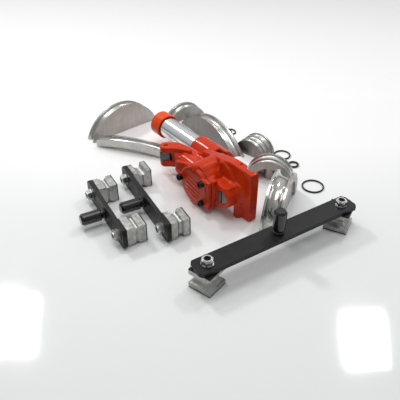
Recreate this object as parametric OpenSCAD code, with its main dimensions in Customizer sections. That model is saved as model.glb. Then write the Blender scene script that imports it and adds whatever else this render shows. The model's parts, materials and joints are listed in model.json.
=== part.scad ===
// Hydraulic pipe bender laid out as a kit: hand pump with ram, three carrier
// beams with grooved reaction blocks, seven bending formers and loose seal rings.
// Millimetres. +X is the way the ram pushes, +Z is up, the floor is z = 0.

/* [Ram and cylinder] */
// outer radius of the polished cylinder tube
tube_r = 22.7; // [22:0.1:23.2]
// wall thickness of the cylinder tube
tube_wall = 5; // [4.5:0.25:5.5]
// radius of the ram rod
rod_r = 13; // [12:0.25:13.5]
// radius of the ram's nose, which the formers fit over
nose_r = 7; // [6:0.25:7.5]
// outer radius of the red end cap
cap_r = 27.2; // [26.2:0.2:28]
// length of the end cap
cap_len = 31; // [28:1:34]
// length of tube showing between cap and collar
tube_show = 112.5; // [108:0.5:117]
// length of the cast collar round the tube
collar_len = 64; // [61:1:66]
// travel of the ram
ram_travel = 90; // [70:5:90]

/* [Pump casting] */
// height of the end flange and the web
flange_h = 106; // [103:1:109]
// thickness of the web
web_t = 20; // [18:1:22]
// radius of the reservoir barrel
barrel_r = 40; // [39:0.5:40.5]
// length of the reservoir barrel in front of the web
barrel_len = 36.4; // [34:0.4:38]
// radius of the reservoir cover
cover_r = 41; // [40:0.25:42]
// thickness of the reservoir cover
cover_t = 10; // [9:0.5:11]
// radius of the socket boss for a beam pin
boss_r = 23; // [22:0.25:24]
// radius of the release valve plug
plug_r = 13; // [11:0.5:13.5]

/* [Lever] */
// radius of the lever pivot pin
lever_pin_r = 4; // [3.5:0.25:4.5]
// length of the finger that pushes the plunger, from the pivot
crank = 16; // [15.5:0.25:16.5]
// radius of the pump plunger
plunger_r = 5.5; // [5:0.25:5.75]
// radius of the hole that takes the pump lever
lever_hole_r = 6; // [5:0.25:6.5]

/* [Beams] */
// width of each flat beam
bar_w = 40; // [38:1:42]
// thickness of each flat beam
bar_t = 8; // [7:0.5:9]
// distance between the two bolts of the short beam
span_1 = 140; // [136:1:144]
// distance between the two bolts of the middle beam
span_2 = 178; // [174:1:182]
// distance between the two bolts of the long beam
span_3 = 292; // [284:2:300]
// radius of the centre pin that plugs into the pump
pin_r = 11.5; // [10.5:0.25:12]
// length of the plain part of the centre pin
pin_len = 38; // [34:1:40]
// side of a reaction block
block_s = 38; // [36:1:40]
// height of a reaction block along its bolt
block_h = 36; // [34:1:38]
// radius of the block bolts
bolt_r = 6; // [5:0.5:6]
// thickness of the plates above and below a block
plate_t = 2; // [1.5:0.25:2.5]

/* [Formers] */
// radial thickness of a former rim
rim_t = 17; // [15:1:18]
// thickness of a former web
former_web = 6; // [5:0.5:8]

/* [Hidden] */
// radial clearance of turning and sliding fits
fit = 0.06;
// free space left between neighbouring bodies
play = 0.3;
// axial freedom of a block between beam and bolt head
float_z = 0.2;
view_turn = 51.75;
kit_x = 54.94;
kit_y = -18.28;
pump_x = -96.5;
pump_y = 76.1;
ram_z = 46;
bore_r = tube_r - tube_wall;
collar_r = tube_r + 5;
collar_x1 = 60;
cheek_x1 = collar_x1 + 20;
collar_x0 = collar_x1 - collar_len;
cap_x1 = collar_x0 - tube_show;
cap_x0 = cap_x1 - cap_len;
cap_wall = 8;
tube_x0 = cap_x0 + cap_wall;
tube_x1 = collar_x1 - 34;
gland_x0 = collar_x1 - 16;
gland_x1 = collar_x1 + 7;
gland_r = rod_r + 5;
gland_flange_r = collar_r - 7.7;
gland_flange_t = 9;
piston_x0 = tube_x0 + 26;
piston_t = 18;
piston_r = bore_r - fit;
seal_w = 5;
seal_in = bore_r - 4;
rod_x1 = collar_x1 + 9;
nose_len = 12;
nose_depth = nose_len + 1;
nose_wall = 4.5;
spring_x0 = piston_x0 + piston_t;
spring_x1 = tube_x1;
spring_wire = 1.1;
spring_r = (rod_r + bore_r) / 2;
spring_turns = 9;
web_y1 = -collar_r - 0.9;
web_y0 = web_y1 - web_t;
web_x0 = 132;
web_z0 = flange_h - 4;
thin_x = 176;
thin_t = 12;
flange_x1 = 210;
flange_t = 12;
rib_w = 18;
rib_h = 9;
rib_y = -collar_r - 0.3;
lug_x = 168;
lug_r = 7;
barrel_x = 100;
barrel_z = cover_r + 3;
barrel_y0 = web_y0 - barrel_len;
tank_r = barrel_r - 12;
gasket_t = 1;
cover_y1 = barrel_y0 - gasket_t;
cover_y0 = cover_y1 - cover_t;
side_x1 = barrel_x + cover_r + 4;
side_z0 = barrel_z - 33;
side_z1 = barrel_z + 28;
side_y1 = barrel_y0 + 12;
screw_ring = cover_r - 4;
screw_r = 4;
screw_head_r = 6.5;
screw_angles = [37, -35, 174];
filler_x = barrel_x - 3;
filler_z = barrel_z + cover_r - 4;
boss_x = 164.4;
boss_y0 = web_y0 - 30.8;
pad_t = 4;
socket_x = boss_x - 9.8;
socket_z = ram_z + 8;
socket_depth = pin_len + 2;
plug_len = 8;
post_x = 181;
post_r = 9;
arm_turn = 52;
pivot_x = -24;
pivot_y = -71;
ear_r = 13;
ear_z0 = ram_z - 23;
ear_z1 = ram_z + 23;
slot_z0 = ram_z - 9.5;
slot_z1 = ram_z + 9.5;
slot_x1 = 13;
lever_z0 = slot_z0 + play;
lever_z1 = slot_z1 - play;
lever_w = 18;
lever_back = 12.5;
lever_front = 11.5;
finger_r = 4.5;
finger_w = 7;
finger_z0 = ram_z - 5;
finger_z1 = ram_z + 5;
lever_hole_len = lever_back - lever_pin_r - 2;
plunger_y = pivot_y + crank * sin(arm_turn);
plunger_x0 = pivot_x + crank * cos(arm_turn) + finger_r + play;
plunger_x1 = plunger_x0 + 42;
pump_barrel_r = 16;
pump_barrel_x0 = 14;
pump_barrel_x1 = 66;
pump_barrel_y = plunger_y + 5;
valve_xs = [22, 48];
valve_r = 6;
valve_ball_r = 3;
valve_z0 = ram_z - 23;
valve_h = 16;
plate_hole = bolt_r + fit;
stack_h = block_h + 2 * plate_t;
head_r = bolt_r + 4;
head_t = 6;
nut_h = 11;
nut_af = bolt_r * 2 + 7;
neck_r = pin_r - 2.5;
neck_len = 9;
end_over = 24;
bar_end_r = 27;

// places a pump piece: ram line along +X over y = 0
module pump() {
  translate([kit_x + pump_x, kit_y + pump_y, 0]) children();
}

// places a loose piece on the bench, bench axes turned into the kit's axes
module bench(x, y, a) {
  translate([kit_x, kit_y, 0]) rotate([0, 0, view_turn]) translate([x, y, 0]) rotate([0, 0, a]) children();
}

// cylinder along +X
module rod_x(r, x0, x1, y, z) {
  translate([x0, y, z]) rotate([0, 90, 0]) cylinder(r = r, h = x1 - x0, $fn = 96);
}

// cylinder along +Y
module rod_y(r, y0, y1, x, z) {
  translate([x, y1, z]) rotate([90, 0, 0]) cylinder(r = r, h = y1 - y0, $fn = 96);
}

// cylinder along +X with both rims chamfered
module soft_x(r, x0, x1, y, z, c) {
  translate([x0, y, z]) rotate([0, 90, 0])
    rotate_extrude($fn = 96) polygon([[0, 0], [r - c, 0], [r, c], [r, x1 - x0 - c], [r - c, x1 - x0], [0, x1 - x0]]);
}

// cylinder along +Y with the rim at the low end chamfered
module soft_y(r, y0, y1, x, z, c) {
  translate([x, y0, z]) rotate([-90, 0, 0])
    rotate_extrude($fn = 96) polygon([[0, 0], [r - c, 0], [r, c], [r, y1 - y0], [0, y1 - y0]]);
}

// outline in x and z, given a thickness from y0 to y1
module slab_y(pts, y0, y1) {
  translate([0, y1, 0]) rotate([90, 0, 0]) linear_extrude(height = y1 - y0) polygon(pts);
}

// solid metal of the pump casting before it is bored
module casting() {
  soft_x(collar_r, collar_x0, collar_x1, 0, ram_z, 1.5);
  intersection() {
    soft_x(collar_r, collar_x1 - 8, cheek_x1, 0, ram_z, 2);
    translate([collar_x1 - 8, 4, ram_z - 6]) cube([40, 40, 40]);
  }
  pump_barrel();
  rib();
  web();
  reservoir();
  arm();
}

// barrel of the plunger beside the collar, a ring round its end, and the metal that joins them
module pump_barrel() {
  soft_x(pump_barrel_r, pump_barrel_x0, pump_barrel_x1, pump_barrel_y, ram_z, 2);
  soft_x(pump_barrel_r - 3, pump_barrel_x0 - 7, pump_barrel_x0 + 2, pump_barrel_y, ram_z, 2);
  translate([2, plunger_y - 9, valve_z0 - 3]) cube([pump_barrel_x1 - 4, 9 - plunger_y - 18, 26]);
  translate([2, pump_barrel_y, ram_z - 15]) cube([pump_barrel_x1 - 4, -pump_barrel_y - 14, 27]);
}

// sloping strip from the mouth of the collar up to the top of the web, on a thinner wall
module rib() {
  hull() {
    translate([collar_x1 - 15, rib_y - rib_w / 2 + 8, ram_z + collar_r - rib_h - 2]) cube([12, rib_w - 4, rib_h]);
    translate([web_x0, web_y0, web_z0 - rib_h]) cube([12, web_t, rib_h]);
  }
  slab_y([[30, 30], [web_x0 + 4, 24], [web_x0 + 4, web_z0 - 4], [56, ram_z + collar_r - 6], [30, ram_z + 16]],
    web_y1 - 2, web_y1 + 1.5);
  slab_y([[96, 26], [web_x0 + 4, 24], [web_x0 + 4, web_z0 - 4], [96, ram_z + 34]], web_y1 - 9, web_y1 + 1.5);
}

// upright plate in front of the ram line with its lug, end flange, post and boss
module web() {
  slab_y([[web_x0 - 12, 26], [thin_x, 26], [thin_x, flange_h], [web_x0 + 20, flange_h], [web_x0, web_z0],
    [web_x0 - 12, web_z0 - 6]], web_y0, web_y1);
  slab_y([[thin_x - 1, 26], [post_x + 4, 0], [flange_x1, 0], [flange_x1, flange_h], [thin_x - 1, flange_h]],
    web_y0, web_y0 + thin_t);
  translate([thin_x - 1, web_y0 + 13, 26]) cylinder(r = lug_r, h = flange_h - 26, $fn = 64);
  translate([flange_x1 - flange_t, web_y0, 0]) cube([flange_t, web_t - 8, flange_h]);
  translate([flange_x1 - flange_t, web_y0, 0]) cube([flange_t, web_t, flange_h - 8]);
  translate([flange_x1 - flange_t, web_y1 - 8, flange_h - 8]) rotate([0, 90, 0])
    cylinder(r = 8, h = flange_t, $fn = 64);
  translate([post_x, web_y0 - 1, 0]) cylinder(r = post_r, h = 34, $fn = 64);
  // raised shoulder that carries the boss
  slab_y([[web_x0 - 8, 22], [176, 24], [188, 34], [192, 40], [193, 52], [192, 62], [184, 70], [170, 73], [152, 92],
    [web_x0 + 2, web_z0 - 2], [web_x0 - 8, web_z0 - 8]], web_y0 - pad_t, web_y0 + 1);
  translate([boss_x, web_y0 - pad_t - 6, ram_z]) rotate([-90, 0, 0])
    cylinder(r1 = boss_r, r2 = boss_r + 4, h = 7, $fn = 96);
  soft_y(boss_r, boss_y0, web_y1, boss_x, ram_z, 2.5);
  // squared shoulder of the boss, and the metal round the socket behind it
  translate([boss_x - 15, boss_y0 + 1.5, ram_z - 18.5]) cube([25, 12, 42.5]);
  translate([socket_x - 16.8, boss_y0 + 6, ram_z - 19]) cube([40, web_y0 - boss_y0 - 5, 42]);
}

// oil barrel with its square side, screw lugs and the ridge towards the arm
module reservoir() {
  rod_y(barrel_r, barrel_y0, web_y1 - 2, barrel_x, barrel_z);
  rod_y(barrel_r - 14, barrel_y0, web_y1 - 2, barrel_x - 2, barrel_z + 19);
  translate([barrel_x, barrel_y0, side_z0]) cube([side_x1 - barrel_x, side_y1 - barrel_y0, side_z1 - side_z0]);
  translate([barrel_x, side_y1 - 1, side_z0 + 6]) cube([barrel_r - 3, web_y0 - side_y1 + 2, 44]);
  for (a = screw_angles)
    rod_y(screw_head_r - 0.5, barrel_y0, barrel_y0 + 20, barrel_x + screw_ring * cos(a), barrel_z + screw_ring * sin(a));
  slab_y([[20, 36], [26, 58], [40, 64], [78, 76], [78, 24], [40, 24]], barrel_y0 + 3, barrel_y0 + 13);
  slab_y([[14, 30], [14, ram_z + 6], [78, ram_z + 6], [78, 24]], barrel_y0 + 10, plunger_y + 4);
}

// forked arm that carries the lever, in a frame turned about the pivot
module arm_frame() {
  translate([pivot_x, pivot_y, 0]) rotate([0, 0, arm_turn]) children();
}

module arm() {
  arm_frame() {
    translate([0, 0, ear_z0]) cylinder(r = ear_r, h = ear_z1 - ear_z0, $fn = 96);
    translate([0, 0, ear_z0]) linear_extrude(height = ear_z1 - ear_z0)
      polygon([[0, -ear_r], [12, -ear_r], [22, -14.5], [34, -18], [50, -24], [54, -16], [49, -6], [34, 7], [25, 12.5],
        [12, ear_r], [0, ear_r]]);
    translate([24, -20, ear_z0 - 2]) cube([26, 26, 34]);
  }
  // metal round the plunger where it leaves the arm
  translate([-2, plunger_y - 9.6, ram_z - 10]) cube([18, 18, 22]);
}

module housing() {
  color([0.82, 0.17, 0.05]) pump() difference() {
    casting();
    rod_x(tube_r, collar_x0 - 30, tube_x1, 0, ram_z);
    rod_x(bore_r, tube_x1 - 1, gland_x0, 0, ram_z);
    rod_x(gland_r, gland_x0 - 1, gland_x1, 0, ram_z);
    rod_x(gland_flange_r, gland_x1 - gland_flange_t, flange_x1, 0, ram_z);
    rod_y(tank_r, barrel_y0 - 1, web_y0 - 6, barrel_x, barrel_z);
    for (a = screw_angles)
      rod_y(screw_r, barrel_y0 - 1, barrel_y0 + 17, barrel_x + screw_ring * cos(a), barrel_z + screw_ring * sin(a));
    rod_y(pin_r + fit, web_y1 - socket_depth, web_y1 + 9, socket_x, socket_z);
    rod_y(plug_r + fit, boss_y0 - 1, boss_y0 + plug_len + 0.5, boss_x, ram_z);
    // gap in the fork for the lever block, and room for its finger behind it
    arm_frame() {
      translate([-40, -40, slot_z0]) cube([40 + slot_x1, 80, slot_z1 - slot_z0]);
      translate([slot_x1 - 1, -9.5, slot_z0]) cube([crank + finger_r + 3 - slot_x1, 19, slot_z1 - slot_z0]);
      translate([0, 0, ear_z0 + 3]) cylinder(r = lever_pin_r, h = ear_z1, $fn = 48);
    }
    rod_x(plunger_r + fit, plunger_x0 - 5, valve_xs[1] + 6, plunger_y, ram_z);
    for (x = valve_xs)
      translate([x, plunger_y, 0]) cylinder(r = valve_r, h = ram_z, $fn = 48);
    translate([lug_x, web_y0 + 13.5, flange_h - 6]) cylinder(r = 2.5, h = 20, $fn = 32);
  }
}

module cylinder_tube() {
  color([0.85, 0.86, 0.87]) pump() difference() {
    rod_x(tube_r, tube_x0, tube_x1, 0, ram_z);
    rod_x(bore_r, tube_x0 - 1, tube_x1 + 1, 0, ram_z);
  }
}

module end_cap() {
  color([0.86, 0.2, 0.06]) pump() difference() {
    soft_x(cap_r, cap_x0, cap_x1, 0, ram_z, 2);
    rod_x(tube_r, tube_x0, cap_x1 + 1, 0, ram_z);
    rod_x(tube_r + 2.5, cap_x1 - 4, cap_x1 + 1, 0, ram_z);
  }
}

module gland_bush() {
  color([0.62, 0.55, 0.25]) pump() difference() {
    union() {
      rod_x(gland_r, gland_x0, gland_x1, 0, ram_z);
      rod_x(gland_flange_r, gland_x1 - gland_flange_t, gland_x1, 0, ram_z);
    }
    rod_x(rod_r + fit, gland_x0 - 1, gland_x1 + 1, 0, ram_z);
  }
}

module ram() {
  color([0.66, 0.62, 0.42]) pump() difference() {
    union() {
      soft_x(rod_r, piston_x0 + 2, rod_x1, 0, ram_z, 1.5);
      soft_x(nose_r, rod_x1 - 4, rod_x1 + nose_len, 0, ram_z, 1);
      rod_x(piston_r, piston_x0, piston_x0 + piston_t, 0, ram_z);
    }
    difference() {
      rod_x(piston_r + 1, piston_x0 + 6, piston_x0 + 6 + seal_w, 0, ram_z);
      rod_x(seal_in, piston_x0 + 5, piston_x0 + 7 + seal_w, 0, ram_z);
    }
  }
}

module piston_seal() {
  color([0.08, 0.08, 0.08]) pump() difference() {
    rod_x(piston_r, piston_x0 + 6, piston_x0 + 6 + seal_w, 0, ram_z);
    rod_x(seal_in, piston_x0 + 5, piston_x0 + 7 + seal_w, 0, ram_z);
  }
}

// open coil between piston and casting, its ends laid on both
module return_spring() {
  color([0.5, 0.52, 0.55]) pump() translate([0, 0, ram_z]) rotate([0, 90, 0]) coil();
}

module coil() {
  steps = spring_turns * 20;
  sides = 6;
  z0 = spring_x0 + spring_wire;
  rise = (spring_x1 - spring_x0 - 2 * spring_wire) / steps;
  ring_pts = [for (i = [0 : steps], k = [0 : sides - 1])
    let (a = i * 18, b = k * 360 / sides, r = spring_r + spring_wire * cos(b))
    [r * cos(a), r * sin(a), z0 + i * rise + spring_wire * sin(b)]];
  skin = [for (i = [0 : steps - 1], k = [0 : sides - 1], h = [0, 1])
    let (n = (k + 1) % sides, a = i * sides, b = (i + 1) * sides)
    h == 0 ? [a + k, a + n, b + n] : [a + k, b + n, b + k]];
  lid_a = [[for (k = [sides - 1 : -1 : 0]) k]];
  lid_b = [[for (k = [0 : sides - 1]) steps * sides + k]];
  polyhedron(points = ring_pts, faces = concat(skin, lid_a, lid_b), convexity = 10);
}

// outline of the tank cover: a disc with a squared side and a lobe round the filler
module cover_form(y0, y1) {
  soft_y(cover_r, y0, y1, barrel_x, barrel_z, 2.5);
  translate([barrel_x, y0 + 1.5, side_z0]) cube([side_x1 - barrel_x, y1 - y0 - 1.5, side_z1 - side_z0]);
  soft_y(11, y0, y1, filler_x, filler_z, 2.5);
}

module tank_cover() {
  color([0.82, 0.17, 0.05]) pump() difference() {
    union() {
      cover_form(cover_y0, cover_y1);
      for (i = [-2 : 2])
        translate([barrel_x - 2, cover_y0, barrel_z - 4]) rotate([0, 10, 0])
          translate([-22 + 2 * abs(i), -1.2, i * 9 - 1]) cube([44 - 4 * abs(i), 3, 2.4]);
      for (a = screw_angles)
        rod_y(screw_head_r + 2, cover_y0 - 1.5, cover_y0 + 3, barrel_x + screw_ring * cos(a),
          barrel_z + screw_ring * sin(a));
    }
    for (a = screw_angles)
      rod_y(screw_r + play, cover_y0 - 4, cover_y1 + 1, barrel_x + screw_ring * cos(a), barrel_z + screw_ring * sin(a));
    rod_y(5, cover_y0 - 4, cover_y1 + 1, filler_x, filler_z);
    rod_y(tank_r - 3, cover_y1 - 4, cover_y1 + 1, barrel_x, barrel_z);
  }
}

module cover_gasket() {
  color([0.1, 0.1, 0.1]) pump() difference() {
    rod_y(barrel_r, cover_y1, barrel_y0, barrel_x, barrel_z);
    rod_y(tank_r, cover_y1 - 1, barrel_y0 + 1, barrel_x, barrel_z);
    for (a = screw_angles)
      rod_y(screw_r + play, cover_y1 - 1, barrel_y0 + 1, barrel_x + screw_ring * cos(a), barrel_z + screw_ring * sin(a));
  }
}

module cover_screws() {
  color([0.06, 0.06, 0.06]) pump() for (a = screw_angles)
    translate([barrel_x + screw_ring * cos(a), 0, barrel_z + screw_ring * sin(a)]) difference() {
      union() {
        soft_y(screw_head_r, cover_y0 - 1.5 - 8, cover_y0 - 1.5, 0, 0, 0.8);
        rod_y(screw_r, cover_y0 - 2, barrel_y0 + 15, 0, 0);
      }
      translate([0, cover_y0 - 5, 0]) rotate([90, 0, 0]) cylinder(r = 3.5, h = 10, $fn = 6);
    }
}

module filler_plug() {
  color([0.75, 0.15, 0.05]) pump() translate([filler_x, 0, filler_z]) difference() {
    union() {
      rod_y(5, cover_y0 - 1, cover_y1 - 2, 0, 0);
      soft_y(7.5, cover_y0 - 2.5, cover_y0, 0, 0, 0.8);
    }
    translate([0, cover_y0 - 1.5, 0]) rotate([90, 0, 0]) cylinder(r = 2.8, h = 3, $fn = 6);
  }
}

// steel block between the ears, bored for the pump lever, with the finger that pushes the plunger
module lever_block() {
  color([0.3, 0.31, 0.32]) pump() arm_frame() difference() {
    union() {
      intersection() {
        translate([-lever_back, -lever_w / 2, lever_z0]) cube([lever_back + lever_front, lever_w, lever_z1 - lever_z0]);
        translate([0, 0, lever_z0]) cylinder(r = lever_front, h = lever_z1 - lever_z0, $fn = 96);
      }
      translate([-lever_back, -lever_w / 2, lever_z0]) cube([lever_back, lever_w, lever_z1 - lever_z0]);
      translate([0, -finger_w / 2, finger_z0]) cube([crank, finger_w, finger_z1 - finger_z0]);
      translate([crank, 0, finger_z0]) cylinder(r = finger_r, h = finger_z1 - finger_z0, $fn = 64);
    }
    translate([0, 0, lever_z0 - 1]) cylinder(r = lever_pin_r + fit, h = lever_z1 - lever_z0 + 2, $fn = 48);
    translate([-lever_back - 1, 0, (lever_z0 + lever_z1) / 2]) rotate([0, 90, 0])
      cylinder(r = lever_hole_r, h = 1 + lever_hole_len, $fn = 64);
  }
}

module lever_pin() {
  color([0.45, 0.46, 0.48]) pump() translate([pivot_x, pivot_y, ear_z0 + 3])
    cylinder(r = lever_pin_r, h = ear_z1 - ear_z0 - 6, $fn = 48);
}

module plunger() {
  color([0.6, 0.61, 0.63]) pump() soft_x(plunger_r, plunger_x0, plunger_x1, plunger_y, ram_z, 1);
}

module check_valves() {
  color([0.72, 0.6, 0.3]) pump() for (x = valve_xs) translate([x, plunger_y, valve_z0]) difference() {
    cylinder(r = valve_r, h = valve_h, $fn = 48);
    translate([0, 0, valve_h - 8]) cylinder(r = valve_ball_r + 0.4, h = 9, $fn = 48);
  }
}

module check_balls() {
  color([0.7, 0.7, 0.72]) pump() for (x = valve_xs)
    translate([x, plunger_y, valve_z0 + valve_h - 8 + valve_ball_r]) sphere(r = valve_ball_r, $fn = 48);
}

module release_valve() {
  color([0.5, 0.51, 0.5]) pump() difference() {
    soft_y(plug_r, boss_y0 + 0.5, boss_y0 + plug_len, boss_x, ram_z, 1);
    translate([boss_x - 2, boss_y0 - 1, ram_z - plug_r]) cube([4, 5, 2 * plug_r]);
  }
}

// puts a beam flat, pin up, on its own blocks
module flat_beam() {
  translate([0, 0, stack_h + float_z]) children();
}

// stands a beam on its long edge, pin pointing away from the blocks
module edge_beam() {
  translate([0, 0, bar_w / 2]) rotate([90, 0, 0]) children();
}

// flat beam with rounded ends, holes for two bolts and the pin's spigot
module bar(span) {
  color([0.05, 0.05, 0.05]) difference() {
    union() {
      translate([-span / 2, -bar_w / 2, 0]) cube([span, bar_w, bar_t]);
      for (s = [-1, 1]) intersection() {
        translate([s * (span / 2), 0, 0]) cylinder(r = bar_end_r, h = bar_t, $fn = 96);
        translate([s * (span / 2 + end_over / 2 - 2) - end_over / 2 - 2, -bar_w / 2, 0]) cube([end_over + 4, bar_w, bar_t]);
      }
    }
    for (s = [-1, 1]) translate([s * span / 2, 0, -1]) cylinder(r = bolt_r, h = bar_t + 2, $fn = 48);
    translate([0, 0, -1]) cylinder(r = neck_r - 2, h = bar_t + 2, $fn = 64);
  }
}

// centre pin: spigot riveted in the beam, collar, waist, plain shank with a chamfered tip
module centre_pin() {
  top = neck_len + pin_len;
  color([0.04, 0.04, 0.04]) rotate_extrude($fn = 96) polygon([[0, 0], [neck_r - 2, 0], [neck_r - 2, bar_t],
    [neck_r + 1.5, bar_t], [neck_r + 1.5, bar_t + 3], [neck_r, bar_t + 4], [neck_r, bar_t + neck_len - 1.5],
    [pin_r, bar_t + neck_len], [pin_r, bar_t + top - 4], [pin_r - 3, bar_t + top], [0, bar_t + top]]);
}

// bolt with a flush head in the outer plate, threaded end up through the nut
module bolts(span) {
  color([0.7, 0.71, 0.7]) for (s = [-1, 1]) translate([s * span / 2, 0, -stack_h - float_z]) {
    cylinder(r = head_r, h = head_t, $fn = 64);
    cylinder(r = bolt_r, h = stack_h + float_z + bar_t + nut_h - 3.5, $fn = 48);
  }
}

// locking nuts: hexagon with a round crown above it
module nuts(span) {
  color([0.78, 0.79, 0.78]) for (s = [-1, 1]) translate([s * span / 2, 0, bar_t]) difference() {
    union() {
      cylinder(r = nut_af / 2 + 1.5, h = 1.2, $fn = 64);
      intersection() {
        translate([0, 0, 1]) rotate([0, 0, s * 11]) cylinder(r = nut_af / sqrt(3), h = nut_h - 3, $fn = 6);
        cylinder(r1 = nut_af / 2 + 6, r2 = nut_af / 2 + 0.5, h = nut_h - 1.6, $fn = 96);
      }
      cylinder(r = nut_af / 2 - 1.2, h = nut_h, $fn = 64);
    }
    translate([0, 0, -1]) cylinder(r = bolt_r, h = nut_h + 2, $fn = 48);
  }
}

// reaction block: each side has a pipe groove of another size, listed +X, +Y, -X, -Y
module block(s, g) {
  color([0.72, 0.73, 0.72]) translate([0, 0, -stack_h - float_z + plate_t]) difference() {
    translate([-s / 2, -s / 2, 0]) cube([s, s, block_h]);
    for (i = [0 : 3]) rotate([0, 0, 90 * i]) translate([s / 2 + g[i] * 0.25, 0, block_h / 2])
      rotate([90, 0, 0]) cylinder(r = g[i], h = 2 * s, center = true, $fn = 96);
    translate([0, 0, -1]) cylinder(r = plate_hole, h = block_h + 2, $fn = 48);
    translate([0, 0, -1]) cylinder(r = head_r + fit, h = head_t - plate_t + 1, $fn = 64);
  }
}

// thin square plates on both ends of a block
module plates(s) {
  color([0.06, 0.06, 0.06]) translate([0, 0, -stack_h - float_z]) {
    difference() {
      translate([-s / 2, -s / 2, 0]) cube([s, s, plate_t]);
      translate([0, 0, -1]) cylinder(r = head_r + fit, h = plate_t + 2, $fn = 64);
    }
    difference() {
      translate([-s / 2, -s / 2, plate_t + block_h]) cube([s, s, plate_t]);
      translate([0, 0, plate_t + block_h - 1]) cylinder(r = plate_hole, h = plate_t + 2, $fn = 48);
    }
  }
}

module beam1() {
  bench(-172.5, -64.5, -61.5) edge_beam() children();
}

module beam2() {
  bench(-102.5, -29.7, -62.5) edge_beam() children();
}

module beam3() {
  bench(135, -157, 32.4) flat_beam() children();
}

module beam1_bar() { beam1() bar(span_1); }
module beam1_pin() { beam1() centre_pin(); }
module beam1_bolts() { beam1() bolts(span_1); }
module beam1_nuts() { beam1() nuts(span_1); }
module beam1_block_a() { beam1() translate([-span_1 / 2, 0, 0]) block(block_s, [2, 4.5, 9, 6]); }
module beam1_plates_a() { beam1() translate([-span_1 / 2, 0, 0]) plates(block_s); }
module beam1_block_b() { beam1() translate([span_1 / 2, 0, 0]) block(block_s, [2, 4.5, 7, 6]); }
module beam1_plates_b() { beam1() translate([span_1 / 2, 0, 0]) plates(block_s); }

module beam2_bar() { beam2() bar(span_2); }
module beam2_pin() { beam2() centre_pin(); }
module beam2_bolts() { beam2() bolts(span_2); }
module beam2_nuts() { beam2() nuts(span_2); }
module beam2_block_a() { beam2() translate([-span_2 / 2, 0, 0]) block(block_s, [2.5, 10, 9, 8]); }
module beam2_plates_a() { beam2() translate([-span_2 / 2, 0, 0]) plates(block_s); }
module beam2_block_b() { beam2() translate([span_2 / 2, 0, 0]) block(block_s, [5.5, 6, 9, 8]); }
module beam2_plates_b() { beam2() translate([span_2 / 2, 0, 0]) plates(block_s); }

module beam3_bar() { beam3() bar(span_3); }
module beam3_pin() { beam3() centre_pin(); }
module beam3_bolts() { beam3() bolts(span_3); }
module beam3_nuts() { beam3() nuts(span_3); }
module beam3_block_a() { beam3() translate([-span_3 / 2, 0, 0]) rotate([0, 0, 20]) block(block_s + 6, [12, 10, 9, 13]); }
module beam3_plates_a() { beam3() translate([-span_3 / 2, 0, 0]) rotate([0, 0, 20]) plates(block_s + 6); }
module beam3_block_b() { beam3() translate([span_3 / 2, 0, 0]) rotate([0, 0, 31]) block(block_s + 6, [12, 9, 10, 13]); }
module beam3_plates_b() { beam3() translate([span_3 / 2, 0, 0]) rotate([0, 0, 31]) plates(block_s + 6); }

// bending former standing on its chord: rim with pipe groove, web, ram socket in the middle
// r rim radius, w width, g groove radius, deep depth of the arc's centre under the chord, wy web place,
// n number of grooves side by side
module former(r, w, g, deep, wy, n = 1) {
  color([0.75, 0.76, 0.75]) difference() {
    union() {
      intersection() {
        arch(r, w, g, deep, n) translate([0, wy]) square([r - rim_t + 1, former_web]);
        translate([-r - 1, -1, 0]) cube([2 * r + 2, w + 2, r + 2]);
      }
      translate([0, w / 2, 0]) cylinder(r = nose_r + nose_wall, h = r - rim_t - deep + 2, $fn = 64);
    }
    translate([0, w / 2, -1]) cylinder(r = nose_r + fit, h = 1 + nose_depth, $fn = 64);
  }
}

// rim of a former turned about its own axis, with the web section given as child
module arch(r, w, g, deep, n = 1) {
  translate([0, 0, -deep]) rotate([-90, 0, 0]) rotate_extrude($fn = 128) difference() {
    union() {
      translate([r - rim_t, 0]) square([rim_t, w]);
      children();
    }
    for (i = [0 : n - 1]) translate([r + g * 0.15, w * (i + 0.5) / n]) circle(r = g, $fn = 64);
  }
}

// open former: a flat grooved arch without a web, half its length to each side, pushed inside its crown
module open_former(r, w, g, half) {
  deep = sqrt(pow(r - rim_t, 2) - pow(half, 2));
  color([0.75, 0.76, 0.75]) intersection() {
    arch(r, w, g, deep);
    translate([-half, -1, 0]) cube([2 * half, w + 2, r]);
  }
}

module former_a() { bench(-178, 281, 40.8) former(96, 26, 9, 31, 0.8); }
module former_b() { bench(-156, 178, -19) open_former(400, 24, 8, 85); }
module former_c() { bench(-30, 338, 26.8) former(52, 28, 9, 18, 0.8); }
module former_d() { bench(15, 232, -55.2) former(134, 28, 11, 82, 0.8); }
module former_e() { bench(109, 168, -39) former(40, 44, 4.8, 4, 0.8, 3); }
module former_f() { bench(143, 68, -13.6) former(50, 34, 6, 4, 20, 2); }
module former_g() { bench(154, -31, 69.4) translate([0, -18, 0]) former(77, 36, 14, 0, 4); }

// loose seal ring lying flat
module ring(r, t) {
  color([0.03, 0.03, 0.03]) translate([0, 0, t]) rotate_extrude($fn = 96) translate([r, 0]) circle(r = t, $fn = 24);
}

module ring_a() { bench(233, 46, 0) ring(21.5, 1.6); }
module ring_b() { bench(184, 168, 0) ring(17.5, 1.6); }
module ring_c() { bench(204, 128, 0) ring(10, 2); }
module ring_d() { bench(72, 272, 0) ring(13, 1.5); }
module ring_e() { bench(66, 268, 0) translate([0, 0, 3.2]) ring(9, 1.2); }

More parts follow.
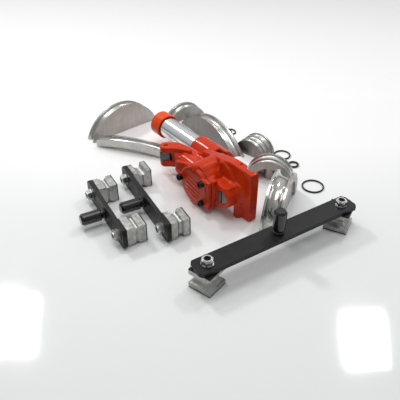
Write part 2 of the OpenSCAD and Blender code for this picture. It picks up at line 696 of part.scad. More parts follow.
housing();
cylinder_tube();
end_cap();
gland_bush();
ram();
piston_seal();
return_spring();
tank_cover();
cover_gasket();
cover_screws();
filler_plug();
lever_block();
lever_pin();
plunger();
check_valves();
check_balls();
release_valve();
beam1_bar();
beam1_pin();
beam1_bolts();
beam1_nuts();
beam1_block_a();
beam1_plates_a();
beam1_block_b();
beam1_plates_b();
beam2_bar();
beam2_pin();
beam2_bolts();
beam2_nuts();
beam2_block_a();
beam2_plates_a();
beam2_block_b();
beam2_plates_b();
beam3_bar();
beam3_pin();
beam3_bolts();
beam3_nuts();
beam3_block_a();
beam3_plates_a();
beam3_block_b();
beam3_plates_b();
former_a();
former_b();
former_c();
former_d();
former_e();
former_f();
former_g();
ring_a();
ring_b();
ring_c();
ring_d();
ring_e();
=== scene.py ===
# %% [markdown]
# # A hydraulic pipe bender, laid out as a kit
# A hand pump pushes a ram out of a chromed cylinder. Around it lie three flat beams with swivelling
# blocks, seven bending formers and a few seal rings. The solids are loaded first, as a fixed frame:
# they could be modelled again here, but then nothing would be sure to fit the joints.

# %% Load the frame
import bpy
import bmesh
import json
from math import radians, sin, tau
from mathutils import Matrix, Vector
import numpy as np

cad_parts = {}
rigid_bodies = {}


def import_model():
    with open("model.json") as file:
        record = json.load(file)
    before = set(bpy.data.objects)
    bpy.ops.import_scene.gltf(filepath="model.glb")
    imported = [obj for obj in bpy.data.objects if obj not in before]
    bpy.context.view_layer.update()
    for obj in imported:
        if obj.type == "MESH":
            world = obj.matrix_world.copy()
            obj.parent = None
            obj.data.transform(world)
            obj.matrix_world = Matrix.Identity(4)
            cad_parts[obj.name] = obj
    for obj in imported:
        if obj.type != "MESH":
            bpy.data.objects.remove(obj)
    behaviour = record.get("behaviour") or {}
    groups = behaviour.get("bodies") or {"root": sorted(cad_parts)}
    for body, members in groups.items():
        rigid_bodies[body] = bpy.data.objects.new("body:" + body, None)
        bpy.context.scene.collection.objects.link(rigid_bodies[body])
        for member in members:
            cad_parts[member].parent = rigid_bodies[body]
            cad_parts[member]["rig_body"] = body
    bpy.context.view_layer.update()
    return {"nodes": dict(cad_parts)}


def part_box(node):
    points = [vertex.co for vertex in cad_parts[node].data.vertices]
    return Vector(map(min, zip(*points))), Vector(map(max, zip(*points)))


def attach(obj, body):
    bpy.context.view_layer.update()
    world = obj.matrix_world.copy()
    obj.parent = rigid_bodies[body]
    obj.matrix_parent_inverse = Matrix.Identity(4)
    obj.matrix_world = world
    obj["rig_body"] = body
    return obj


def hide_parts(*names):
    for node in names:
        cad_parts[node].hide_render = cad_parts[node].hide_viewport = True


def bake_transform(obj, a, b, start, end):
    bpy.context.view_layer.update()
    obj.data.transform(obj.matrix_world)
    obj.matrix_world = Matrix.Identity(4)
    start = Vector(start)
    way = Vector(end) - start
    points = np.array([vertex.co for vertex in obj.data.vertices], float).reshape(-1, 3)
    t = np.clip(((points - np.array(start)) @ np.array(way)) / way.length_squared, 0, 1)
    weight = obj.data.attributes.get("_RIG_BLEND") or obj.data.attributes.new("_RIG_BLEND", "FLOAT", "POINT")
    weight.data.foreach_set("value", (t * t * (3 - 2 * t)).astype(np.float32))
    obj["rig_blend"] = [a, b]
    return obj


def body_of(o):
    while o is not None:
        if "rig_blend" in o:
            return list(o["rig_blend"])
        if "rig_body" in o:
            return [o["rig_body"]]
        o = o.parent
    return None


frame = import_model()
scene = bpy.context.scene
scene.view_settings.view_transform = "Standard"

# %% [markdown]
# ## Places
# Bench axes run along the picture, pump axes along the ram. Two small functions turn millimetres in
# either set into metres in the frame, which keeps every later number readable.

# %% Bench and pump axes
MM = 0.001
KIT = Vector((54.94, -18.28, 0))
TURN = radians(51.75)
PUMP = KIT + Vector((-96.5, 76.1, 0))
RAM_Z = 46.0


def bench(x, y, z=0.0):
    return (KIT + Matrix.Rotation(TURN, 3, "Z") @ Vector((x, y, z))) * MM


def pump(x, y, z=RAM_Z):
    return (PUMP + Vector((x, y, z))) * MM


print("pump origin", [round(v, 4) for v in pump(0, 0)])

# %% [markdown]
# ## Camera
# The lens was found from the round seal rings, which show as ellipses: a level view from 36.6 degrees
# up, 1.1 m from the bench, with a focal length of 550 picture elements in a picture 400 wide, or a field
# of about 40 degrees. A camera could be placed by eye, but then the sizes of near and far pieces would
# never agree with the picture.

# %% Camera at the picture's place
PICTURE = 400
FOCAL = 550
SENSOR = 36.0


def add_object(name, data):
    obj = bpy.data.objects.new(name, data)
    scene.collection.objects.link(obj)
    return obj


eye = bench(0, -883.1, 655.85)
aim = bench(0, 0)
camera = add_object("bench_camera", bpy.data.cameras.new("bench_camera"))
camera.location = eye
camera.rotation_euler = (aim - eye).to_track_quat("-Z", "Y").to_euler()
camera.data.sensor_width = SENSOR
camera.data.lens = SENSOR * FOCAL / PICTURE
camera.data.clip_end = 60
scene.camera = camera
print("camera", [round(v, 3) for v in eye], "lens", camera.data.lens)

# %% [markdown]
# ## Light and floor
# Two soft boxes stand behind it, left and right, and mirror in the table top; a larger one hangs above.
# The room round them is grey, darkest at eye level and towards the front, because the windows are at the
# back. An even white room would be simpler, but polished metal only looks like metal when it has
# something dark to mirror.

# %% Room
RANGE_KEYS = ("From Min", "From Max", "To Min", "To Max")
world = bpy.data.worlds.new("studio_room")
scene.world = world
world.use_nodes = True
room, wl = world.node_tree.nodes, world.node_tree.links
room.clear()
height = room.new("ShaderNodeSeparateXYZ")
wl.new(room.new("ShaderNodeTexCoord").outputs["Generated"], height.inputs[0])
level = room.new("ShaderNodeMapRange")
level.inputs["From Min"].default_value = -1.0
wl.new(height.outputs["Z"], level.inputs["Value"])
walls = room.new("ShaderNodeValToRGB")
STOPS = ((0.0, 0.55), (0.47, 0.34), (0.53, 0.30), (0.62, 0.72), (0.80, 0.85), (1.0, 0.95))
for at, tone in STOPS[1:-1]:
    walls.color_ramp.elements.new(at)
for stop, (at, tone) in zip(walls.color_ramp.elements, STOPS):
    stop.position, stop.color = at, (tone, tone, tone * 1.01, 1)
wl.new(level.outputs["Result"], walls.inputs["Fac"])
back_wall = room.new("ShaderNodeVectorMath")
back_wall.operation = "DOT_PRODUCT"
back_wall.inputs[1].default_value = (bench(0, 1) - bench(0, 0)) / MM
wl.new(height.inputs[0].links[0].from_socket, back_wall.inputs[0])
windows = room.new("ShaderNodeMapRange")
for key, number in zip(RANGE_KEYS, (-0.8, 0.8, 0.32, 0.78)):
    windows.inputs[key].default_value = number
wl.new(back_wall.outputs["Value"], windows.inputs["Value"])
air = room.new("ShaderNodeBackground")
wl.new(windows.outputs["Result"], air.inputs["Strength"])
wl.new(walls.outputs["Color"], air.inputs["Color"])
wl.new(air.outputs[0], room.new("ShaderNodeOutputWorld").inputs["Surface"])
print("room tones", len(walls.color_ramp.elements))


# %% Soft boxes
def soft_box(name, at, to, size, watts):
    lamp = bpy.data.lights.new(name, "AREA")
    lamp.shape = "RECTANGLE"
    lamp.size, lamp.size_y = size
    lamp.energy = watts
    obj = add_object(name, lamp)
    obj.location = at
    obj.rotation_euler = (to - at).to_track_quat("-Z", "Y").to_euler()


soft_box("box_back_left", bench(-955, 1016, 1556), bench(-955, 50), (0.22, 0.27), 11.8)
soft_box("box_back_right", bench(846, 953, 1600), bench(846, 50), (0.22, 0.27), 6.8)
soft_box("box_above", bench(-100, -80, 1500), bench(0, 50), (1.0, 0.8), 7)
print("soft boxes", len(bpy.data.lights))

# %% Floor
FLOOR_HALF = 8
FLOOR_GAP = 0.0004
floor_mesh = bpy.data.meshes.new("table")
bm = bmesh.new()
bmesh.ops.create_grid(bm, x_segments=1, y_segments=1, size=FLOOR_HALF)
bmesh.ops.translate(bm, verts=bm.verts, vec=(0, 0, -FLOOR_GAP))
bm.to_mesh(floor_mesh)
bm.free()
table = add_object("table", floor_mesh)
print("table", len(floor_mesh.polygons), "face")

# %% [markdown]
# ## Finishes
# Each finish starts from the same few steps: a noise that breaks up the colour, one that breaks up the
# gloss, and a fine bump. Painting images would fix them to one view, so every pattern is worked out
# from the piece's own coordinates.


# %% Finish helpers
def start_finish(name, metal, rough):
    mat = bpy.data.materials.new(name)
    mat.use_nodes = True
    tree = mat.node_tree
    shader = tree.nodes["Principled BSDF"]
    shader.inputs["Metallic"].default_value = metal
    shader.inputs["Roughness"].default_value = rough
    place = tree.nodes.new("ShaderNodeTexCoord").outputs["Object"]
    return mat, tree, shader, place


def grain(tree, place, scale, detail=4.0, rough=0.55, stretch=None):
    if stretch:
        mapping = tree.nodes.new("ShaderNodeMapping")
        mapping.inputs["Scale"].default_value = stretch
        tree.links.new(place, mapping.inputs["Vector"])
        place = mapping.outputs["Vector"]
    noise = tree.nodes.new("ShaderNodeTexNoise")
    noise.inputs["Scale"].default_value = scale
    noise.inputs["Detail"].default_value = detail
    noise.inputs["Roughness"].default_value = rough
    tree.links.new(place, noise.inputs["Vector"])
    return noise.outputs["Fac"]


def spread(tree, value, low, high, a=0.35, b=0.65):
    node = tree.nodes.new("ShaderNodeMapRange")
    for key, number in zip(RANGE_KEYS, (a, b, low, high)):
        node.inputs[key].default_value = number
    tree.links.new(value, node.inputs["Value"])
    return node.outputs["Result"]


def shades(tree, value, *stops):
    ramp = tree.nodes.new("ShaderNodeValToRGB")
    band = ramp.color_ramp.elements
    for end, (at, colour) in zip(band, (stops[0], stops[-1])):
        end.position, end.color = at, (*colour, 1)
    for at, colour in stops[1:-1]:
        band.new(at).color = (*colour, 1)
    tree.links.new(value, ramp.inputs["Fac"])
    return ramp.outputs["Color"]


def relief(tree, shader, *layers):
    normal = None
    for height, strength, distance in layers:
        bump = tree.nodes.new("ShaderNodeBump")
        bump.inputs["Strength"].default_value = strength
        bump.inputs["Distance"].default_value = distance
        tree.links.new(height, bump.inputs["Height"])
        if normal:
            tree.links.new(normal, bump.inputs["Normal"])
        normal = bump.outputs["Normal"]
    tree.links.new(normal, shader.inputs["Normal"])


def math(tree, kind, a, b=None):
    node = tree.nodes.new("ShaderNodeMath")
    node.operation = kind
    for socket, value in zip(node.inputs, (a, b)):
        if value is None:
            continue
        if isinstance(value, (int, float)):
            socket.default_value = value
        else:
            tree.links.new(value, socket)
    return node.outputs[0]


print("finish helpers ready")

# %% [markdown]
# ### Table top
# The table's colour is painted lighter with the distance from the front edge, as painted light for the
# stronger light at the back, where the table runs up into the backdrop; the gloss fades there too. A
# second sheet could stand behind the table, but its edge would show.

# %% White laminate
laminate, tree, shader, place = start_finish("white_laminate", 0.0, 0.08)
turned = tree.nodes.new("ShaderNodeMapping")
turned.vector_type = "TEXTURE"
turned.inputs["Location"].default_value = KIT * MM
turned.inputs["Rotation"].default_value = (0, 0, TURN)
tree.links.new(place, turned.inputs["Vector"])
depth = tree.nodes.new("ShaderNodeSeparateXYZ")
tree.links.new(turned.outputs["Vector"], depth.inputs[0])
distance = spread(tree, depth.outputs["Y"], 0.0, 1.0, -0.5, 0.5)
sweep = math(tree, "ADD", distance, math(tree, "MULTIPLY", grain(tree, place, 2.2), 0.06))
# painted light: these tones grow lighter towards the back of the table; the slight cool tint is the
# laminate's own
SHADED_NEAR, HALF_LIT_MIDDLE, LIT_FAR = (0.82, 0.845, 0.825), (0.88, 0.895, 0.885), (0.99, 0.99, 0.985)
tree.links.new(shades(tree, sweep, (0.1, SHADED_NEAR), (0.5, HALF_LIT_MIDDLE), (0.75, LIT_FAR)), shader.inputs["Base Color"])
tree.links.new(spread(tree, grain(tree, place, 9.0), 0.06, 0.10), shader.inputs["Roughness"])
tree.links.new(spread(tree, sweep, 0.5, 0.05, 0.6, 1.0), shader.inputs["Specular IOR Level"])
table.data.materials.append(laminate)
print("laminate on", table.name)

# %% [markdown]
# ### Red enamel
# The casting is dipped in a thick orange-red enamel. Under the gloss the sand-cast skin still shows as
# slow waves, and the paint itself dries with a fine orange peel. A clear coat gives the sharp
# reflection over the softer one of the pigment.


# %% Red enamel
def red_enamel(name, low, high, skin):
    mat, tree, shader, place = start_finish(name, 0.0, 0.3)
    pigment = shades(tree, grain(tree, place, 34.0, 6.0), (0.32, low), (0.68, high))
    tree.links.new(pigment, shader.inputs["Base Color"])
    tree.links.new(spread(tree, grain(tree, place, 120.0), 0.20, 0.32), shader.inputs["Roughness"])
    shader.inputs["Coat Weight"].default_value = 0.25
    shader.inputs["Coat Roughness"].default_value = 0.05
    shader.inputs["Coat IOR"].default_value = 1.5
    shader.inputs["Specular IOR Level"].default_value = 0.12
    relief(tree, shader, (grain(tree, place, 260.0, 3.0), skin, 0.0004),
           (grain(tree, place, 900.0, 2.0), 0.04, 0.0002))
    return mat


casting_red = red_enamel("casting_enamel", (0.54, 0.028, 0.003), (0.64, 0.043, 0.005), 0.13)
cover_red = red_enamel("cover_enamel", (0.54, 0.028, 0.003), (0.64, 0.043, 0.005), 0.10)
cap_red = red_enamel("cap_enamel", (0.76, 0.066, 0.006), (0.84, 0.086, 0.009), 0.05)
print("enamels", casting_red.name, cover_red.name, cap_red.name)

# %% [markdown]
# ### Chrome
# The cylinder tube is ground round and then plated. What tells chrome from a mirror are the grinding
# rings under it, so a noise is drawn out into thin hoops round the tube.

# %% Chromed tube
chrome, tree, shader, place = start_finish("chromed_tube", 1.0, 0.12)
hoops = grain(tree, place, 60.0, 5.0, 0.6, (30.0, 0.6, 0.6))
tree.links.new(shades(tree, grain(tree, place, 18.0), (0.3, (0.78, 0.79, 0.80)), (0.7, (0.87, 0.88, 0.885))),
               shader.inputs["Base Color"])
tree.links.new(spread(tree, hoops, 0.12, 0.24), shader.inputs["Roughness"])
shader.inputs["Anisotropic"].default_value = 0.4
relief(tree, shader, (hoops, 0.05, 0.0002))
print("chrome ready")


# %% [markdown]
# ### Bare steels, zinc and brass
# Ground pins, phosphated blocks, black screws, zinc nuts and the brass gland differ in colour and in
# the way their surface was cut. One function makes them all: cloudy stain, lines from the tool, bump.

# %% Metals
def bare_metal(name, low, high, rough, line_scale, stretch, depth):
    mat, tree, shader, place = start_finish(name, 1.0, rough)
    stain = grain(tree, place, 70.0, 6.0, 0.65)
    lines = grain(tree, place, line_scale, 3.0, 0.6, stretch)
    tree.links.new(shades(tree, stain, (0.3, low), (0.7, high)), shader.inputs["Base Color"])
    tree.links.new(spread(tree, lines, rough - 0.08, rough + 0.10), shader.inputs["Roughness"])
    relief(tree, shader, (lines, depth, 0.0003), (stain, 0.05, 0.0003))
    return mat


# Each row: darker and lighter tone, roughness, scale of the tool lines, their stretch, their depth.
METALS = {
    "ground_steel": ((0.46, 0.46, 0.47), (0.58, 0.58, 0.59), 0.26, 90.0, (1, 12, 12), 0.10),
    "ram_steel": ((0.44, 0.41, 0.33), (0.58, 0.54, 0.44), 0.24, 90.0, (14, 1, 1), 0.03),
    "phosphated_steel": ((0.10, 0.105, 0.10), (0.20, 0.205, 0.20), 0.44, 140.0, (1, 8, 8), 0.18),
    "plug_steel": ((0.20, 0.21, 0.20), (0.32, 0.33, 0.32), 0.40, 140.0, (8, 1, 8), 0.18),
    "black_oxide": ((0.018, 0.018, 0.018), (0.05, 0.05, 0.05), 0.36, 300.0, (1, 1, 1), 0.22),
    "zinc_plate": ((0.56, 0.57, 0.55), (0.72, 0.73, 0.71), 0.30, 220.0, (1, 1, 3), 0.16),
    "gland_brass": ((0.42, 0.34, 0.12), (0.60, 0.50, 0.20), 0.28, 90.0, (14, 1, 1), 0.12),
    "spring_wire": ((0.20, 0.20, 0.21), (0.32, 0.32, 0.33), 0.34, 120.0, (1, 1, 1), 0.15),
}
metal = {name: bare_metal(name, *row) for name, row in METALS.items()}
print("metals", len(metal))

# %% [markdown]
# ### Black beams
# The beams are flat bar, blackened and oiled. The skin is nearly black but not even: rolled streaks
# run along the bar, and dust and handling leave paler spots with less gloss.

# %% Blackened bar
black_bar, tree, shader, place = start_finish("blackened_bar", 0.0, 0.42)
mottle = grain(tree, place, 55.0, 7.0, 0.7)
pits = grain(tree, place, 420.0, 4.0, 0.6)
tree.links.new(shades(tree, mottle, (0.30, (0.006, 0.006, 0.0065)), (0.62, (0.014, 0.014, 0.015)),
                      (0.85, (0.035, 0.035, 0.036))), shader.inputs["Base Color"])
tree.links.new(spread(tree, mottle, 0.34, 0.52), shader.inputs["Roughness"])
shader.inputs["Specular IOR Level"].default_value = 0.28
relief(tree, shader, (pits, 0.22, 0.0003), (mottle, 0.10, 0.0005))
gloss_black, tree, shader, place = start_finish("oiled_pin", 0.0, 0.2)
film = grain(tree, place, 90.0, 5.0)
tree.links.new(shades(tree, film, (0.3, (0.004, 0.004, 0.0045)), (0.7, (0.013, 0.013, 0.014))),
               shader.inputs["Base Color"])
tree.links.new(spread(tree, film, 0.14, 0.28), shader.inputs["Roughness"])
shader.inputs["Coat Weight"].default_value = 0.4
shader.inputs["Coat Roughness"].default_value = 0.1
relief(tree, shader, (grain(tree, place, 500.0, 2.0), 0.08, 0.0002))
print("black finishes", black_bar.name, gloss_black.name)

# %% [markdown]
# ### Seal rubber
# Moulded rubber is close to black with a soft sheen; talc leaves it slightly grey in patches.

# %% Rubber
rubber, tree, shader, place = start_finish("seal_rubber", 0.0, 0.5)
talc = grain(tree, place, 140.0, 5.0)
tree.links.new(shades(tree, talc, (0.35, (0.010, 0.010, 0.010)), (0.75, (0.028, 0.028, 0.028))),
               shader.inputs["Base Color"])
tree.links.new(spread(tree, talc, 0.40, 0.58), shader.inputs["Roughness"])
relief(tree, shader, (grain(tree, place, 1500.0, 2.0), 0.1, 0.0001))
print("rubber ready")

# %% [markdown]
# ### Cast aluminium
# The blocks are die cast and then milled on the pipe grooves. Cast skin is matt with small pits, so a
# coarse and a fine noise are laid over each other.

# %% Cast aluminium
cast_alu, tree, shader, place = start_finish("cast_aluminium", 1.0, 0.42)
cloud = grain(tree, place, 110.0, 7.0, 0.72)
fine = grain(tree, place, 700.0, 4.0, 0.6)
scratch = grain(tree, place, 120.0, 3.0, 0.6, (1, 1, 16))
tree.links.new(shades(tree, cloud, (0.30, (0.25, 0.25, 0.235)), (0.68, (0.60, 0.60, 0.57))),
               shader.inputs["Base Color"])
tree.links.new(spread(tree, cloud, 0.34, 0.54), shader.inputs["Roughness"])
relief(tree, shader, (fine, 0.3, 0.0003), (scratch, 0.15, 0.0003))
print("cast aluminium ready")

# %% [markdown]
# ### Turned aluminium
# A former is cast as a half disc and then turned about the middle of its arc. The tool leaves fine
# rings in the groove and on the rim, while the web keeps its cast skin. The shader finds the radius
# from the former's own middle, so the rings really run round it; the same noise on plain coordinates
# would run straight across.

# %% Where each former lies, and its sizes
# Each row: bench x and y, angle, radius, width, depth of the arc's middle under the bench, shine of the
# turned rim, tone of the web (painted light and shade per former over one cast grey), and how far the former
# lies behind its place.
FORMERS = {
    "former_a": (-178, 281, 40.8, 96, 26, 31, 0.26, 0.52, 0),
    "former_b": (-156, 178, -19, 400, 24, 373.45, 0.20, 0.55, 0),
    "former_c": (-30, 338, 26.8, 52, 28, 18, 0.24, 0.38, 0),
    "former_d": (15, 232, -55.2, 134, 28, 82, 0.22, 0.27, 0),
    "former_e": (109, 168, -39, 40, 44, 4, 0.26, 0.29, 0),
    "former_f": (143, 68, -13.6, 50, 34, 4, 0.26, 0.45, 0),
    "former_g": (154, -31, 69.4, 77, 36, 0, 0.13, 0.50, 18),
}
RIM = 17
RIM_TONE = (0.64, 0.64, 0.61)
print("formers", len(FORMERS))


# %% Turned aluminium
def turned_aluminium(name, x, y, angle, r, w, deep, cast_tone_and_shade, bright, shine, back):
    mat, tree, shader, place = start_finish(name, 1.0, shine)
    mapping = tree.nodes.new("ShaderNodeMapping")
    mapping.vector_type = "TEXTURE"
    mapping.inputs["Location"].default_value = bench(x, y, -deep)
    mapping.inputs["Rotation"].default_value = (0, 0, TURN + radians(angle))
    tree.links.new(place, mapping.inputs["Vector"])
    split = tree.nodes.new("ShaderNodeSeparateXYZ")
    tree.links.new(mapping.outputs["Vector"], split.inputs[0])
    across = math(tree, "ADD", split.outputs["Y"], back * MM)
    radius = math(tree, "SQRT", math(tree, "ADD", math(tree, "POWER", split.outputs["X"], 2.0),
                                     math(tree, "POWER", split.outputs["Z"], 2.0)))
    rings = tree.nodes.new("ShaderNodeCombineXYZ")
    tree.links.new(radius, rings.inputs[0])
    tree.links.new(across, rings.inputs[1])
    lines = grain(tree, rings.outputs[0], 1100.0, 3.0, 0.6)
    cloud = grain(tree, place, 45.0, 6.0, 0.65)
    pits = grain(tree, place, 650.0, 4.0, 0.6)
    streaks = grain(tree, mapping.outputs["Vector"], 9.0, 4.0, 0.6, (14, 1, 1))
    stain = math(tree, "ADD", math(tree, "MULTIPLY", cloud, 0.7), math(tree, "MULTIPLY", streaks, 0.3))
    edge = math(tree, "MINIMUM", across, math(tree, "SUBTRACT", w * MM, across))
    outside = spread(tree, radius, 0.0, 1.0, (r - RIM + 0.5) * MM, (r - RIM + 1.5) * MM)
    turned = math(tree, "MULTIPLY", outside, spread(tree, edge, 0.0, 1.0, 0.0003, 0.0012))
    tint = tree.nodes.new("ShaderNodeMix")
    tint.data_type = "RGBA"
    tree.links.new(turned, tint.inputs[0])
    # the web's colour carries painted light and shade, set per former; the rim tone is the turned metal's own
    for socket, pattern, tone in ((6, stain, cast_tone_and_shade), (7, cloud, bright)):
        low, high = [tuple(v * k for v in tone) for k in (0.76, 1.18)]
        tree.links.new(shades(tree, pattern, (0.34, low), (0.66, high)), tint.inputs[socket])
    tree.links.new(tint.outputs[2], shader.inputs["Base Color"])
    cast_gloss = spread(tree, cloud, shine + 0.12, shine + 0.26)
    turned_gloss = spread(tree, lines, shine - 0.05, shine + 0.10)
    mix = tree.nodes.new("ShaderNodeMix")
    tree.links.new(turned, mix.inputs["Factor"])
    tree.links.new(cast_gloss, mix.inputs["A"])
    tree.links.new(turned_gloss, mix.inputs["B"])
    tree.links.new(mix.outputs["Result"], shader.inputs["Roughness"])
    relief(tree, shader, (math(tree, "MULTIPLY", lines, turned), 0.10, 0.0002),
           (math(tree, "MULTIPLY", pits, math(tree, "SUBTRACT", 1.0, turned)), 0.25, 0.0003))
    return mat


former_finish = {}
# painted light and shade: each former's web tone is made lighter or darker for the light on it, over the one
# cast grey they share
for name, (*place_and_size, shine, tone, back) in FORMERS.items():
    web_grey_and_shade = (tone, tone * 0.97, tone * 0.92)
    former_finish[name] = turned_aluminium(name + "_aluminium", *place_and_size, web_grey_and_shade, RIM_TONE,
                                           shine, back)
print("turned finishes", len(former_finish))

# %% [markdown]
# ## Dressing the solids
# A solid from the frame has perfectly sharp edges, and nothing real has. Each node is copied, its loose
# triangles are merged, flat areas are joined into single faces, and a small bevel breaks the edges so
# they catch the light. Rebuilding every plate by hand would only repeat the same sizes.


# %% Dressing helper
def body_name(node):
    return body_of(frame["nodes"][node])[0]


def merged_copy(node, name):
    mesh = frame["nodes"][node].data.copy()
    mesh.name = name
    mesh.materials.clear()
    bm = bmesh.new()
    bm.from_mesh(mesh)
    bmesh.ops.remove_doubles(bm, verts=bm.verts, dist=2e-6)
    bm.to_mesh(mesh)
    bm.free()
    return add_object(name, mesh)


def shade_round(mesh, limit):
    bm = bmesh.new()
    bm.from_mesh(mesh)
    for edge in bm.edges:
        edge.smooth = len(edge.link_faces) == 2 and edge.calc_face_angle(0) < radians(limit)
    for face in bm.faces:
        face.smooth = True
    bm.to_mesh(mesh)
    bm.free()


def soften(obj, width, limit, segments):
    shade_round(obj.data, limit)
    if width:
        edge = obj.modifiers.new("broken_edge", "BEVEL")
        edge.limit_method = "ANGLE"
        edge.angle_limit = radians(limit)
        edge.width = width * MM
        edge.segments = segments
        edge.harden_normals = True


def dress(node, material, width=0.4, limit=32, segments=2):
    obj = merged_copy(node, node + "_dressed")
    bm = bmesh.new()
    bm.from_mesh(obj.data)
    bmesh.ops.dissolve_limit(bm, angle_limit=radians(0.4), verts=bm.verts, edges=bm.edges)
    bm.to_mesh(obj.data)
    bm.free()
    soften(obj, width, limit, segments)
    obj.data.materials.append(material)
    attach(obj, body_name(node))
    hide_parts(node)
    return obj


print("dressing helper ready")

# %% [markdown]
# ## The casting
# Cast iron has no sharp corners: every edge is rounded and every inner corner filled, because sand
# can't hold a sharp one. The solid is remeshed into small even squares and smoothed, which rounds both
# at once; a bevel could only do the outer edges. Then the bores are cut again, because they are
# machined after casting and so stay crisp.


# %% Even mesh and rounded corners
def cast_skin(node, name, cell, passes):
    obj = merged_copy(node, name)
    remesh = obj.modifiers.new("even_cells", "REMESH")
    remesh.mode = "VOXEL"
    remesh.voxel_size = cell * MM
    view = bpy.context.evaluated_depsgraph_get()
    mesh = bpy.data.meshes.new_from_object(obj.evaluated_get(view))
    obj.modifiers.clear()
    obj.data = mesh
    bm = bmesh.new()
    bm.from_mesh(mesh)
    for _ in range(passes):
        bmesh.ops.smooth_vert(bm, verts=bm.verts, factor=0.5,
                              use_axis_x=True, use_axis_y=True, use_axis_z=True)
    for face in bm.faces:
        face.smooth = True
    bm.to_mesh(mesh)
    bm.free()
    return obj


casting = cast_skin("housing", "casting", 1.4, 4)
print("casting", len(casting.data.polygons), "cells")


# %% Cutters for the machined bores
def round_cutter(start, end, radius):
    bm = bmesh.new()
    axis = end - start
    bmesh.ops.create_cone(bm, cap_ends=True, segments=96, radius1=radius * MM, radius2=radius * MM,
                          depth=axis.length)
    bmesh.ops.transform(bm, matrix=axis.to_track_quat("Z", "Y").to_matrix().to_4x4(), verts=bm.verts)
    bmesh.ops.translate(bm, vec=(start + end) / 2, verts=bm.verts)
    return bm


def box_cutter(low, high, at, turn):
    bm = bmesh.new()
    bmesh.ops.create_cube(bm, size=1.0)
    bmesh.ops.scale(bm, vec=(Vector(high) - Vector(low)) * MM, verts=bm.verts)
    bmesh.ops.translate(bm, vec=(Vector(high) + Vector(low)) * MM / 2, verts=bm.verts)
    bmesh.ops.rotate(bm, cent=(0, 0, 0), matrix=Matrix.Rotation(turn, 3, "Z"), verts=bm.verts)
    bmesh.ops.translate(bm, vec=at, verts=bm.verts)
    return bm


def cut(obj, cutter):
    mesh = bpy.data.meshes.new("cutter")
    bmesh.ops.recalc_face_normals(cutter, faces=cutter.faces)
    cutter.to_mesh(mesh)
    cutter.free()
    tool = add_object("cutter", mesh)
    bore = obj.modifiers.new("bore", "BOOLEAN")
    bore.operation = "DIFFERENCE"
    bore.solver = "MANIFOLD"
    bore.object = tool
    view = bpy.context.evaluated_depsgraph_get()
    done = bpy.data.meshes.new_from_object(obj.evaluated_get(view))
    obj.modifiers.clear()
    obj.data = done
    bpy.data.objects.remove(tool)


PIVOT = (-24.0, -71.0)
ARM = radians(52)
pivot_at = pump(PIVOT[0], PIVOT[1], 0)
PLUNGER_Y = PIVOT[1] + 16 * sin(ARM)
BOSS = (164.4, -79.4, -28.6)
SOCKET = (BOSS[0] - 9.8, RAM_Z + 8)
print("plunger line", round(PLUNGER_Y, 2))

# %% Bore the casting
BORES = {
    "tube seat": (pump(-40, 0), pump(26, 0), 22.75),
    "rod way": (pump(25, 0), pump(45, 0), 17.75),
    "gland seat": (pump(44, 0), pump(59, 0), 18.05),
    "mouth": (pump(58, 0), pump(120, 0), 20.05),
    "plug hole": (pump(BOSS[0], BOSS[1] - 9), pump(BOSS[0], BOSS[1] + 8.5), 13.15),
    "beam socket": (pump(SOCKET[0], BOSS[2] + 12, SOCKET[1]), pump(SOCKET[0], BOSS[2] - 40, SOCKET[1]), 11.6),
    "plunger bore": (pump(-14.4, PLUNGER_Y), pump(54, PLUNGER_Y), 5.65),
    "lever pin": (pump(*PIVOT, 26), pump(*PIVOT, 80), 4.02),
    "filler": (pump(168, -35.1, 99), pump(168, -35.1, 120), 2.6),
}
for start, end, radius in BORES.values():
    cut(casting, round_cutter(start, end, radius))
cut(casting, box_cutter((-40, -40, 36.45), (13.05, 40, 55.55), pivot_at, ARM))
cut(casting, box_cutter((12, -9.6, 36.45), (22.6, 9.6, 55.55), pivot_at, ARM))
shade_round(casting.data, 40)
casting.data.materials.clear()
casting.data.materials.append(casting_red)
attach(casting, "pump")
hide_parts("housing")
print("casting faces", len(casting.data.polygons))

# %% [markdown]
# ## Cover and cap
# The tank cover is a second casting and gets the same rounding with finer cells, because its ribs are
# thin. The end cap is a turned piece, so its profile is spun round the cylinder's axis.

# %% Tank cover
cover = cast_skin("tank_cover", "cover", 0.9, 4)
cover.data.materials.clear()
cover.data.materials.append(cover_red)
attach(cover, "pump")
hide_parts("tank_cover")
print("cover faces", len(cover.data.polygons))


# %% Spinning a profile
def turned_piece(name, profile, origin, along):
    bm = bmesh.new()
    points = [bm.verts.new((radius * MM, 0, height * MM)) for radius, height in profile]
    edges = [bm.edges.new(pair) for pair in zip(points, points[1:])]
    bmesh.ops.spin(bm, geom=points + edges, cent=(0, 0, 0), axis=(0, 0, 1), angle=tau, steps=128,
                   use_merge=True)
    bmesh.ops.remove_doubles(bm, verts=bm.verts, dist=1e-6)
    bmesh.ops.recalc_face_normals(bm, faces=bm.faces)
    bmesh.ops.transform(bm, matrix=Vector(along).to_track_quat("Z", "Y").to_matrix().to_4x4(), verts=bm.verts)
    bmesh.ops.translate(bm, vec=origin, verts=bm.verts)
    mesh = bpy.data.meshes.new(name)
    bm.to_mesh(mesh)
    bm.free()
    return add_object(name, mesh)


CAP_PROFILE = [(0, 0), (19, 0), (20, 0.8), (23.5, 0.8), (24.7, 0), (25.4, 0), (27.2, 2), (27.2, 29.2),
               (25.6, 31), (25.2, 31), (25.2, 27), (22.72, 27), (22.72, 8), (0, 8)]
cap = turned_piece("screwed_cap", CAP_PROFILE, pump(-147.5, 0), (1, 0, 0))
soften(cap, 0.7, 25, 3)
cap.data.materials.append(cap_red)
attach(cap, "pump")
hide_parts("end_cap")

# %% [markdown]
# ## Cylinder, ram, valves and lever
# These are turned and milled pieces whose solids are already right, so they only get broken edges.

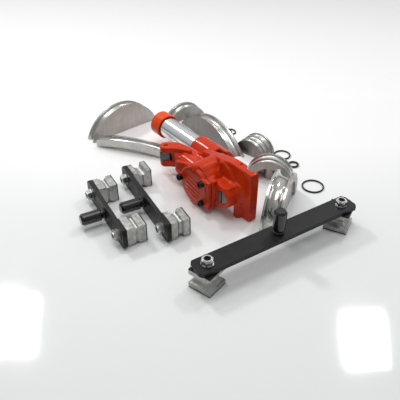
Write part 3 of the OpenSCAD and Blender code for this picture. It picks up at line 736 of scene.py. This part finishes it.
# %% Pump pieces
# Each row: finish, and the width of the broken edge in millimetres.
PUMP_PIECES = {
    "cylinder_tube": (chrome, 0.5),
    "gland_bush": (metal["gland_brass"], 0.5),
    "ram": (metal["ram_steel"], 0.3),
    "piston_seal": (rubber, 0.3),
    "cover_gasket": (rubber, 0),
    "cover_screws": (metal["black_oxide"], 0.35),
    "filler_plug": (cover_red, 0.5),
    "lever_block": (metal["phosphated_steel"], 0.6),
    "lever_pin": (metal["ground_steel"], 0.5),
    "plunger": (metal["ground_steel"], 0.2),
    "check_valves": (metal["gland_brass"], 0.3),
    "check_balls": (metal["ground_steel"], 0),
    "release_valve": (metal["plug_steel"], 0.4),
}
for node, (material, width) in PUMP_PIECES.items():
    dress(node, material, width)
print("pump pieces", len(PUMP_PIECES))

# %% [markdown]
# ## Return spring
# The spring lies between the piston and the gland and is pressed together as the ram comes out. Left
# stiff, it would be cut by the piston, so its coils follow the ram at one end and the pump at the other.

# %% Return spring
spring = merged_copy("return_spring", "spring_coils")
shade_round(spring.data, 60)
spring.data.materials.append(metal["spring_wire"])
spring_low, spring_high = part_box("return_spring")
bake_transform(spring, "ram", "pump", (spring_low[0], 0, 0), (spring_high[0], 0, 0))
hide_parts("return_spring")
print("spring", round((spring_high[0] - spring_low[0]) / MM, 1), "mm long")

# %% [markdown]
# ## Formers
# The formers keep their turned shape and get a rounded lip along the groove, as a former needs: a sharp
# lip would mark the pipe.

# %% Formers
for name in FORMERS:
    piece = dress(name, former_finish[name], 0.8 if name != "former_b" else 0.6, 34, 3)
print("formers dressed", len(FORMERS))

# %% [markdown]
# ## Beams
# Each beam is a flat bar with a centre pin, two bolts, two locking nuts and two blocks between thin
# plates. The edges of the bar are only just broken, the cast blocks have softer ones.

# %% Beam pieces
for n in (1, 2, 3):
    stem = "beam%d_" % n
    dress(stem + "bar", black_bar, 0.7, 30, 2)
    dress(stem + "pin", gloss_black, 0.5, 20, 2)
    dress(stem + "bolts", metal["black_oxide"], 0.4)
    dress(stem + "nuts", metal["zinc_plate"], 0.35, 24, 2)
    for side in "ab":
        dress(stem + "block_" + side, cast_alu, 0.8, 34, 3)
        dress(stem + "plates_" + side, black_bar, 0.3)
print("beams dressed", 3)

# %% [markdown]
# ## Seal rings
# Plain moulded rings: smooth shading is all they need.

# %% Seal rings
for letter in "abcde":
    dress("ring_" + letter, rubber, 0, 60)
print("rings dressed", 5)
